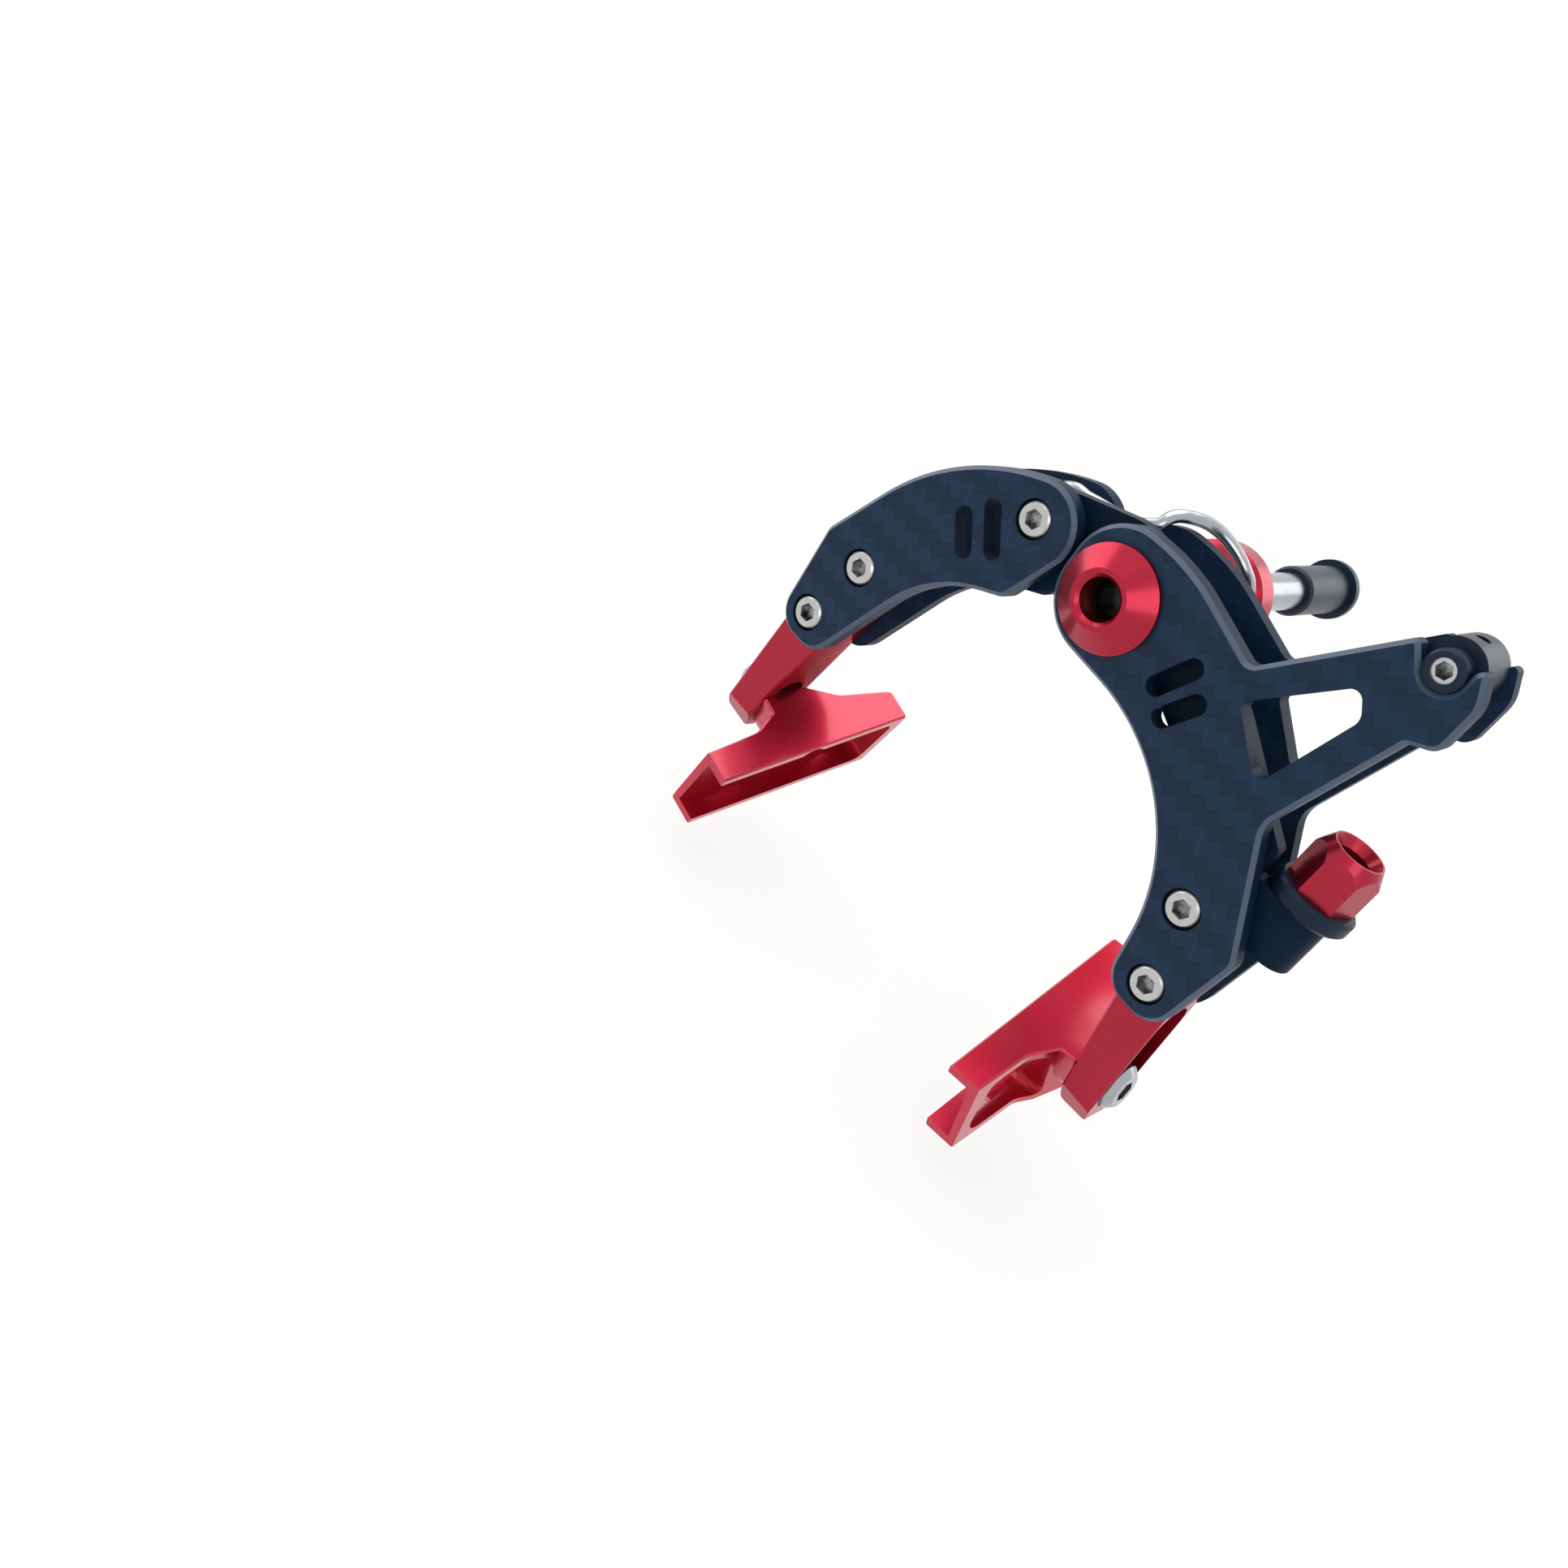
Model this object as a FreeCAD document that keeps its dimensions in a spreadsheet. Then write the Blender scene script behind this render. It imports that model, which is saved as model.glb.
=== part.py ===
import FreeCAD, Part
import math
import os

# Single-pivot side-pull caliper brake. Millimetres; X to the right seen from the front,
# Y to the rear along the centre stud, Z up. The origin is on the stud at the fork seat.

SIZES = (
    ("stud_radius", "3.0"),
    ("stud_tail", "36.0"),
    ("stud_recess", "4.8"),
    ("thread_play", "0.02"),
    ("running_play", "0.03"),
    ("axial_play", "0.05"),
    ("bush_wall", "1.0"),
    ("washer_thick", "0.4"),
    ("washer_radius", "6.1"),
    ("plate_thick", "3.0"),
    ("plate_gap", "9.0"),
    ("link_thick", "2.5"),
    ("cap_radius", "7.5"),
    ("cap_height", "3.2"),
    ("cap_lip_radius", "4.2"),
    ("cap_rim", "0.6"),
    ("spool_length", "19.1"),
    ("spool_hub_radius", "5.4"),
    ("spool_flange_radius", "8.1"),
    ("spool_flange_thick", "5.0"),
    ("nut_reach", "24.5"),
    ("nut_body_radius", "4.0"),
    ("nut_body_length", "16.2"),
    ("nut_flange_radius", "5.0"),
    ("nut_flange_thick", "1.8"),
    ("wire_radius", "0.95"),
    ("coil_radius", "7.4"),
    ("coil_pitch", "2.6"),
    ("bolt_upper_x", "34.6"),
    ("bolt_upper_z", "-23.5"),
    ("bolt_lower_x", "37.9"),
    ("bolt_lower_z", "-35.0"),
    ("link_bolt_x", "-15.9"),
    ("link_bolt_z", "0.6"),
    ("anchor_x", "38.0"),
    ("anchor_z", "21.7"),
    ("screw_radius", "1.5"),
    ("screw_head_radius", "2.6"),
    ("screw_head_height", "1.6"),
    ("screw_grip", "4.0"),
    ("head_clearance", "0.25"),
    ("hole_clearance", "0.05"),
    ("plate_edge_break", "0.6"),
    ("slot_width", "2.9"),
    ("bracket_tilt", "11.0"),
    ("bracket_end_z", "-60.8"),
    ("bracket_bevel", "3.4"),
    ("bracket_track_length", "12.0"),
    ("track_clearance", "0.15"),
    ("metal_edge_break", "0.3"),
    ("shoe_bolt_z", "-54.6"),
    ("shoe_bolt_radius", "2.5"),
    ("shoe_bolt_head_radius", "3.8"),
    ("shoe_bolt_head_height", "2.2"),
    ("shoe_bolt_seat", "4.2"),
    ("shoe_slot_travel", "3.0"),
    ("shoe_washer_thick", "0.6"),
    ("shoe_washer_radius", "3.8"),
    ("shoe_depth", "11.0"),
    ("shoe_open_length", "20.6"),
    ("shoe_closed_length", "19.0"),
    ("shoe_above", "2.9"),
    ("shoe_below", "9.3"),
    ("shoe_wall", "1.4"),
    ("shoe_channel_depth", "4.0"),
    ("shoe_web", "0.8"),
    ("shoe_back_rim", "0.5"),
    ("shoe_nose_slant", "4.2"),
    ("shoe_mouth_slant", "3.0"),
    ("shoe_boss_half", "3.6"),
    ("shoe_boss_drop", "5.6"),
    ("main_shoe_roll", "24.0"),
    ("side_shoe_roll", "20.0"),
    ("anchor_body_radius", "4.0"),
    ("anchor_end_radius", "2.65"),
    ("anchor_end_play", "0.08"),
    ("anchor_screw_radius", "1.55"),
    ("cable_hole_radius", "1.0"),
    ("adjuster_x", "44.5"),
    ("adjuster_radius", "3.0"),
    ("adjuster_bore", "2.6"),
    ("adjuster_bore_depth", "9.0"),
    ("adjuster_hex_across", "8.7"),
    ("adjuster_hex_height", "7.6"),
    ("lock_ring_radius", "6.0"),
    ("lock_ring_height", "2.6"),
    ("lug_top_z", "-14.0"),
    ("lug_height", "8.4"),
    ("lug_inner_x", "38.6"),
)

doc = FreeCAD.newDocument("caliper_brake")
sheet = doc.addObject("Spreadsheet::Sheet", "sizes")
for row, (alias, number) in enumerate(SIZES, 1):
    sheet.set("A%d" % row, alias)
    sheet.set("B%d" % row, number)
    sheet.setAlias("B%d" % row, alias)
doc.recompute()

NODES = []
FULL_TURN = 360.0
HEX_SIDES = 6


def size(alias):
    """A driving size from the sheet, in millimetres or degrees."""
    return float(sheet.get(alias))


def vector(across, up, out=0.0):
    return FreeCAD.Vector(across, up, out)


def plane_of(body, role):
    """One of the body's own origin planes."""
    for feature in body.Origin.OriginFeatures:
        if feature.Role == role:
            return feature
    raise ValueError(role)


def new_body(label, node=True):
    body = doc.addObject("PartDesign::Body", label)
    body.Label = label
    if node:
        NODES.append(body)
    return body


def new_sketch(body, name, role, shapes, offset=0.0):
    """A sketch on an origin plane of the body, moved along the plane's normal."""
    drawing = body.newObject("Sketcher::SketchObject", name)
    drawing.AttachmentSupport = [(plane_of(body, role), "")]
    drawing.MapMode = "FlatFace"
    drawing.AttachmentOffset = FreeCAD.Placement(vector(0, 0, offset), FreeCAD.Rotation())
    drawing.addGeometry(shapes, False)
    return drawing


def front_sketch(body, name, shapes, depth):
    """A sketch across the stud, at the given place along Y."""
    return new_sketch(body, name, "XZ_Plane", shapes, -depth)


def pad(body, name, drawing, length, backward=False):
    feature = body.newObject("PartDesign::Pad", name)
    feature.Profile = drawing
    if isinstance(length, str):
        feature.setExpression("Length", length)
    else:
        feature.Length = length
    feature.Reversed = backward
    drawing.Visibility = False
    return feature


def pocket(body, name, drawing, length=None, backward=False):
    """A cut to a depth, or right through both ways when no depth is given."""
    feature = body.newObject("PartDesign::Pocket", name)
    feature.Profile = drawing
    if length is None:
        feature.Type = "ThroughAll"
        feature.Midplane = True
    elif isinstance(length, str):
        feature.setExpression("Length", length)
    else:
        feature.Length = length
    feature.Reversed = backward
    drawing.Visibility = False
    return feature


def revolve(body, name, drawing):
    """Turn a profile about the sketch's upright axis."""
    feature = body.newObject("PartDesign::Revolution", name)
    feature.Profile = drawing
    feature.ReferenceAxis = (drawing, ["V_Axis"])
    feature.Angle = FULL_TURN
    drawing.Visibility = False
    return feature


def rounded(corners):
    """Lines and arcs round a loop of corners, each given as across, up, corner radius."""
    starts = []
    ends = []
    arcs = []
    count = len(corners)
    for index in range(count):
        here = vector(corners[index][0], corners[index][1])
        radius = corners[index][2]
        before = vector(*corners[index - 1][:2]) - here
        after = vector(*corners[(index + 1) % count][:2]) - here
        before.normalize()
        after.normalize()
        half = before.getAngle(after) / 2
        if radius == 0:
            starts.append(here)
            ends.append(here)
            continue
        reach = radius / math.tan(half)
        middle = before + after
        middle.normalize()
        starts.append(here + before * reach)
        ends.append(here + after * reach)
        top = here + middle * (radius / math.sin(half) - radius)
        arcs.append(Part.Arc(starts[-1], top, ends[-1]))
    lines = []
    for index in range(count):
        start = ends[index]
        end = starts[(index + 1) % count]
        if start.distanceToPoint(end) > Part.Precision.confusion():
            lines.append(Part.LineSegment(start, end))
    return lines + arcs


def polygon(points):
    """Straight lines round a loop of points."""
    return rounded([(across, up, 0) for across, up in points])


def circle(across, up, radius):
    return Part.Circle(vector(across, up), vector(0, 0, 1), radius)


def hexagon(across, up, across_flats):
    corner = across_flats / math.sqrt(3)
    points = []
    for index in range(HEX_SIDES):
        angle = index * 2 * math.pi / HEX_SIDES
        points.append((across + corner * math.cos(angle), up + corner * math.sin(angle)))
    return polygon(points)


def slot(start, end, width):
    """A round-ended slot between its two end points, tip to tip."""
    along = vector(end[0] - start[0], end[1] - start[1])
    along.normalize()
    side = vector(-along.y, along.x) * (width / 2)
    first = vector(*start) + along * (width / 2)
    last = vector(*end) - along * (width / 2)
    return [
        Part.LineSegment(first + side, last + side),
        Part.Arc(last + side, last + along * (width / 2), last - side),
        Part.LineSegment(last - side, first - side),
        Part.Arc(first - side, first - along * (width / 2), first + side),
    ]


def turned(label, profile, node=True):
    """A turned piece: radius and place along Y, revolved about Y."""
    body = new_body(label, node)
    revolve(body, label + "_turning", new_sketch(body, label + "_profile", "XY_Plane", polygon(profile)))
    return body


# The stack along the stud, from the fork seat forward.
spool_front = -size("spool_length")
washer_room = size("washer_thick") + size("axial_play")
rear_back = spool_front - washer_room
rear_front = rear_back - size("plate_thick")
front_back = rear_front - size("plate_gap")
front_face = front_back - size("plate_thick")
link_front = front_back + washer_room
link_back = link_front + size("link_thick")
middle_y = (front_back + rear_front) / 2
cap_back = front_face - size("axial_play")
cap_tip = cap_back - size("cap_height")
bush_radius = size("stud_radius") + size("bush_wall")
pivot_bore = bush_radius + size("running_play")
stud_bore = size("stud_radius") + size("thread_play")

# Centre stud with its key socket at the front and a chamfer at each end.
STUD_CHAMFER = 0.6
STUD_KEY = 4.0
STUD_KEY_DEPTH = 3.0
stud_front = cap_tip + size("stud_recess")
stud = turned("pivot_stud", [
    (0, stud_front),
    (size("stud_radius") - STUD_CHAMFER, stud_front),
    (size("stud_radius"), stud_front + STUD_CHAMFER),
    (size("stud_radius"), size("stud_tail") - STUD_CHAMFER),
    (size("stud_radius") - STUD_CHAMFER, size("stud_tail")),
    (0, size("stud_tail")),
])
pocket(stud, "key_socket", front_sketch(stud, "key_shape", hexagon(0, 0, STUD_KEY), stud_front), STUD_KEY_DEPTH)

# Conical cap nut that holds the arms on the stud.
CAP_BORE_FLARE = 0.5
cap = turned("cap_nut", [
    (stud_bore, cap_back),
    (size("cap_radius"), cap_back),
    (size("cap_radius"), cap_back - size("cap_rim")),
    (size("cap_lip_radius"), cap_tip),
    (stud_bore + CAP_BORE_FLARE, cap_tip),
    (stud_bore, cap_tip + CAP_BORE_FLARE),
])

# Bush that the arms turn on, clamped between the cap nut and the spool.
bush = turned("pivot_bush", [
    (stud_bore, cap_back),
    (bush_radius, cap_back),
    (bush_radius, spool_front),
    (stud_bore, spool_front),
])


def washer(label, start, thick, inner, outer):
    """A flat ring on the Y axis, not a node by itself."""
    return turned(label, [
        (inner, start),
        (outer, start),
        (outer, start + thick),
        (inner, start + thick),
    ], node=False)


def group(label, pieces):
    """Like pieces kept together as one node of separate solids."""
    bundle = doc.addObject("Part::Compound", label)
    bundle.Label = label
    bundle.Links = pieces
    NODES.append(bundle)
    return bundle


front_washer = washer("front_washer", front_back + size("axial_play") / 2, size("washer_thick"),
                      pivot_bore, size("washer_radius"))
rear_washer = washer("rear_washer", rear_back + size("axial_play") / 2, size("washer_thick"),
                     pivot_bore, size("washer_radius"))
group("thrust_washers", [front_washer, rear_washer])

# Sleeve that keeps the rear plate off the inner link.
spacer = turned("pivot_spacer", [
    (pivot_bore, link_back + size("axial_play")),
    (size("washer_radius"), link_back + size("axial_play")),
    (size("washer_radius"), rear_front - size("axial_play")),
    (pivot_bore, rear_front - size("axial_play")),
])

# Spool that the spring coils round and that seats on the fork.
SPOOL_CHAMFER = 0.6
SPOOL_CONE = 1.6
spool_shoulder = -size("spool_flange_thick")
spool = turned("spool_spacer", [
    (stud_bore, spool_front),
    (size("spool_hub_radius"), spool_front),
    (size("spool_hub_radius"), spool_shoulder - SPOOL_CONE),
    (size("spool_flange_radius") - SPOOL_CHAMFER, spool_shoulder),
    (size("spool_flange_radius"), spool_shoulder + SPOOL_CHAMFER),
    (size("spool_flange_radius"), -SPOOL_CHAMFER),
    (size("spool_flange_radius") - SPOOL_CHAMFER, 0),
    (stud_bore, 0),
])

# Sleeve nut at the rear end of the stud, with a key socket in its flange.
NUT_KEY = 5.0
NUT_KEY_DEPTH = 4.0
NUT_CHAMFER = 0.4
NUT_END_GAP = 0.8
nut_shoulder = size("nut_reach") + size("nut_body_length")
nut_end = nut_shoulder + size("nut_flange_thick")
nut = turned("sleeve_nut", [
    (stud_bore, size("nut_reach")),
    (size("nut_body_radius") - NUT_CHAMFER, size("nut_reach")),
    (size("nut_body_radius"), size("nut_reach") + NUT_CHAMFER),
    (size("nut_body_radius"), nut_shoulder),
    (size("nut_flange_radius"), nut_shoulder),
    (size("nut_flange_radius"), nut_end - NUT_CHAMFER),
    (size("nut_flange_radius") - NUT_CHAMFER, nut_end),
    (0, nut_end),
    (0, size("stud_tail") + NUT_END_GAP),
    (stud_bore, size("stud_tail") + NUT_END_GAP),
])
pocket(nut, "key_socket", front_sketch(nut, "key_shape", hexagon(0, 0, NUT_KEY), nut_end), NUT_KEY_DEPTH, True)


# Outlines of the two arms' plates: across, up, corner radius.
PIVOT_END = 8.4
PIVOT_ROUND = 8.3
FOOT_ROUND = 4.5
NOTCH_RADIUS = size("anchor_end_radius") + size("anchor_end_play")
NOTCH_LEAN = 47.0
NOTCH_WALL = 5.2
foot_x = size("bolt_lower_x")
foot_low = size("bolt_lower_z") - FOOT_ROUND - 0.2
notch_lean = math.radians(NOTCH_LEAN)
notch_foot = size("anchor_x") - NOTCH_RADIUS * math.tan(notch_lean / 2)
notch_right = size("anchor_x") + NOTCH_RADIUS
notch_low = size("anchor_z") - NOTCH_RADIUS
main_outline = [
    (-PIVOT_END, 9.9, PIVOT_ROUND),
    (6.0, 10.6, 30.0),
    (20.2, 6.2, 1.6),
    (notch_foot - NOTCH_WALL * math.cos(notch_lean), notch_low + NOTCH_WALL * math.sin(notch_lean), 0.8),
    (notch_foot, notch_low, NOTCH_RADIUS),
    (notch_right, notch_low, NOTCH_RADIUS),
    (notch_right, size("anchor_z") + 1.9, 1.0),
    (41.6, 25.2, 0.7),
    (44.1, 20.9, 5.0),
    (44.0, 14.1, 2.0),
    (40.6, 12.4, 1.0),
    (34.9, -7.3, 4.0),
    (44.6, -24.0, 3.0),
    (foot_x + FOOT_ROUND + 0.2, foot_low, FOOT_ROUND),
    (foot_x - FOOT_ROUND - 0.2, foot_low, FOOT_ROUND),
    (27.4, -10.6, 28.0),
    (-PIVOT_END, -8.5, PIVOT_ROUND),
]
TOWER_WINDOW = [
    (22.3, 2.2, 1.0),
    (32.4, 14.0, 1.4),
    (35.0, 10.9, 2.0),
    (30.7, -4.4, 1.5),
]
MAIN_SLOTS = (((11.8, -5.4), (15.6, 2.4)), ((15.1, -7.9), (19.0, -0.8)))
side_outline = [
    (-9.0, 9.5, 6.5),
    (-32.2, 0.5, 36.0),
    (-43.0, -22.6, 2.5),
    (-foot_x - FOOT_ROUND - 0.1, foot_low, FOOT_ROUND),
    (-foot_x + FOOT_ROUND + 0.1, foot_low, FOOT_ROUND),
    (-24.0, -16.1, 22.0),
    (-12.8, -10.7, 2.5),
    (-9.0, -1.0, 2.0),
]
SIDE_SLOTS = (((-22.8, -1.2), (-17.4, -7.9)), ((-25.9, -4.9), (-21.3, -10.8)))
main_bolts = ((size("bolt_upper_x"), size("bolt_upper_z")), (size("bolt_lower_x"), size("bolt_lower_z")))
side_bolts = tuple((-across, up) for across, up in main_bolts)
link_bolt_spot = (size("link_bolt_x"), size("link_bolt_z"))
screw_hole = size("screw_radius") + size("hole_clearance")
head_hole = size("screw_head_radius") + size("head_clearance")


EDGE_TOLERANCE = 0.001


def rim_edges(body, axis, *places):
    """The edges of the body that lie wholly on flat faces across an axis, at the given places along it."""
    names = []
    for index, edge in enumerate(body.Shape.Edges, 1):
        low = getattr(edge.BoundBox, axis + "Min")
        high = getattr(edge.BoundBox, axis + "Max")
        if any(abs(low - spot) < EDGE_TOLERANCE and abs(high - spot) < EDGE_TOLERANCE for spot in places):
            names.append("Edge%d" % index)
    return names


def break_edges(body, name, base, edges, width):
    """A small chamfer that takes the sharpness off the named edges."""
    feature = body.newObject("PartDesign::Chamfer", name)
    feature.Base = (base, edges)
    feature.setExpression("Size", width)
    doc.recompute()
    return feature


def arm_plate(label, depth, outline, window, slots, bolts, bores, outer_side):
    """One carbon plate: broken outer edges, slots, screw holes and head recesses on its outer side."""
    body = new_body(label)
    drawing = front_sketch(body, label + "_outline", rounded(outline), depth)
    blank = pad(body, label + "_sheet", drawing, "sizes.plate_thick", True)
    doc.recompute()
    face = depth if outer_side < 0 else depth + size("plate_thick")
    break_edges(body, label + "_edges", blank, rim_edges(body, "Y", face), "sizes.plate_edge_break")
    cuts = []
    for start, end in slots:
        cuts += slot(start, end, size("slot_width"))
    if window:
        cuts += rounded(window)
    for across, up, radius in bores:
        cuts.append(circle(across, up, radius))
    for across, up in bolts:
        cuts.append(circle(across, up, screw_hole))
    pocket(body, label + "_openings", front_sketch(body, label + "_cuts", cuts, depth))
    recesses = [circle(across, up, head_hole) for across, up in bolts]
    pocket(body, label + "_recesses", front_sketch(body, label + "_heads", recesses, face),
           "sizes.screw_head_height", outer_side > 0)
    return body


pivot_hole = ((0, 0, pivot_bore),)
arm_plate("main_front_plate", front_face, main_outline, TOWER_WINDOW, MAIN_SLOTS, main_bolts, pivot_hole, -1)
tang_angle = math.radians(-12.0)
TANG_PLAY = 0.25
tang_hole = size("wire_radius") + TANG_PLAY
tang_spot = (size("coil_radius") * math.cos(tang_angle), size("coil_radius") * math.sin(tang_angle))
rear_holes = ((0, 0, pivot_bore), (tang_spot[0], tang_spot[1], tang_hole))
arm_plate("main_rear_plate", rear_front, main_outline, TOWER_WINDOW, MAIN_SLOTS, main_bolts, rear_holes, 1)
side_fixings = side_bolts + (link_bolt_spot,)
arm_plate("side_front_plate", front_face, side_outline, None, SIDE_SLOTS, side_fixings, (), -1)
arm_plate("side_rear_plate", rear_front, side_outline, None, SIDE_SLOTS, side_fixings, (), 1)


# Socket screws with flat heads, sunk in the plates from both sides.
SCREW_KEY = 2.5
SCREW_KEY_DEPTH = 1.2
SCREW_DOME = 0.35


def flat_screw(label, length, spot, depth, from_front, node=False):
    """A socket screw whose head's outer face is at the given place along Y."""
    head = size("screw_head_height")
    screw = turned(label, [
        (0, 0),
        (size("screw_head_radius") - SCREW_DOME, 0),
        (size("screw_head_radius"), SCREW_DOME),
        (size("screw_head_radius"), head),
        (size("screw_radius"), head),
        (size("screw_radius"), head + length),
        (0, head + length),
    ], node)
    pocket(screw, label + "_socket", front_sketch(screw, label + "_key", hexagon(0, 0, SCREW_KEY), 0), SCREW_KEY_DEPTH)
    turn = 0 if from_front else 180
    screw.Placement = FreeCAD.Placement(vector(spot[0], depth, spot[1]), FreeCAD.Rotation(vector(0, 0, 1), turn))
    return screw


def bracket_screws(label, bolts):
    """Two screws from the front and two from the rear hold the bracket between its plates."""
    grip = size("plate_thick") - size("screw_head_height") + size("screw_grip")
    rear_face = rear_front + size("plate_thick")
    pieces = []
    for index, spot in enumerate(bolts, 1):
        pieces.append(flat_screw("%s_front_%d" % (label, index), grip, spot, front_face, True))
        pieces.append(flat_screw("%s_rear_%d" % (label, index), grip, spot, rear_face, False))
    group(label, pieces)


bracket_screws("main_screws", main_bolts)
bracket_screws("side_screws", side_bolts)

# Bolt, shim, sleeve and nut that clamp the inner link between the side arm's plates.
LINK_NUT_KEY = 4.0
link_end = rear_front + size("plate_thick")
link_shank = link_end - front_face - size("screw_head_height")
link_bolt = flat_screw("link_bolt", link_shank, link_bolt_spot, front_face, True, True)
LINK_SLEEVE = 3.2
link_shim = washer("link_shim", front_back, link_front - front_back, screw_hole, LINK_SLEEVE)
link_sleeve = washer("link_sleeve", link_back, rear_front - link_back, screw_hole, LINK_SLEEVE)
for piece in (link_shim, link_sleeve):
    piece.Placement = FreeCAD.Placement(vector(link_bolt_spot[0], 0, link_bolt_spot[1]), FreeCAD.Rotation())
    NODES.append(piece)
nut_depth = link_end - size("screw_head_height")
link_nut = new_body("link_nut")
nut_faces = hexagon(link_bolt_spot[0], link_bolt_spot[1], LINK_NUT_KEY)
nut_faces.append(circle(link_bolt_spot[0], link_bolt_spot[1], screw_hole))
pad(link_nut, "link_nut_hex", front_sketch(link_nut, "link_nut_shape", nut_faces, nut_depth), "sizes.screw_head_height", True)


# Inner link: a plate that runs from the side arm over the stud to a lug for the adjuster.
lug_low = size("lug_top_z") - size("lug_height")
lug_half = (rear_front - link_front) / 2 - size("axial_play") * 2
lug_y = link_front + lug_half
ring_left = size("adjuster_x") - size("lock_ring_radius")
LINK_RING_GAP = 0.6
link_outline = [
    (link_bolt_spot[0] - 6.4, link_bolt_spot[1] + 3.2, 4.6),
    (-3.0, 10.0, 9.0),
    (19.0, 2.9, 40.0),
    (ring_left - LINK_RING_GAP, -9.6, 0.8),
    (ring_left - LINK_RING_GAP, size("lug_top_z"), 0.4),
    (size("adjuster_x"), size("lug_top_z"), 0),
    (size("adjuster_x"), lug_low, 0),
    (size("lug_inner_x"), lug_low, 0.5),
    (size("lug_inner_x"), -18.6, 1.2),
    (10.0, -5.3, 8.0),
    (1.5, -8.6, 5.5),
    (-7.0, -4.8, 3.0),
    (link_bolt_spot[0] + 2.6, -9.7, 2.0),
    (link_bolt_spot[0] - 5.6, -3.9, 4.0),
]
link = new_body("inner_link")
pad(link, "link_plate", front_sketch(link, "link_outline", rounded(link_outline), link_front), "sizes.link_thick", True)
lug_shape = [
    Part.LineSegment(vector(size("lug_inner_x"), link_front), vector(size("adjuster_x"), link_front)),
    Part.Arc(vector(size("adjuster_x"), link_front), vector(size("adjuster_x") + lug_half, lug_y),
             vector(size("adjuster_x"), lug_y + lug_half)),
    Part.LineSegment(vector(size("adjuster_x"), lug_y + lug_half), vector(size("lug_inner_x"), lug_y + lug_half)),
    Part.LineSegment(vector(size("lug_inner_x"), lug_y + lug_half), vector(size("lug_inner_x"), link_front)),
]
pad(link, "adjuster_lug", new_sketch(link, "lug_shape", "XY_Plane", lug_shape, lug_low), "sizes.lug_height")
lug_bore = size("adjuster_radius") + size("running_play")
pocket(link, "lug_bore", new_sketch(link, "lug_bore_shape", "XY_Plane", [circle(size("adjuster_x"), lug_y, lug_bore)], lug_low))
link_holes = [circle(0, 0, pivot_bore), circle(link_bolt_spot[0], link_bolt_spot[1], screw_hole)]
pocket(link, "link_holes", front_sketch(link, "link_hole_shapes", link_holes, link_front))


# Pad brackets: one shape, made for each side.
BRACKET_BOSS = 3.6
BRACKET_INNER_X = 34.5
BRACKET_INNER_Z = -37.5
BRACKET_OUTER_X = 44.0
BRACKET_END_RISE = 0.9
BRACKET_ARM_ROUND = 8.0
BRACKET_SHOULDER = 4.2
BRACKET_TRACK_CUT = 6.0
tilt = math.radians(size("bracket_tilt"))


def bracket_inner(up):
    """Where the inner face of a bracket lies across, at a height."""
    return BRACKET_INNER_X + (BRACKET_INNER_Z - up) * math.tan(tilt)


bolt_x = bracket_inner(size("shoe_bolt_z"))
end_z = size("bracket_end_z")


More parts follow.
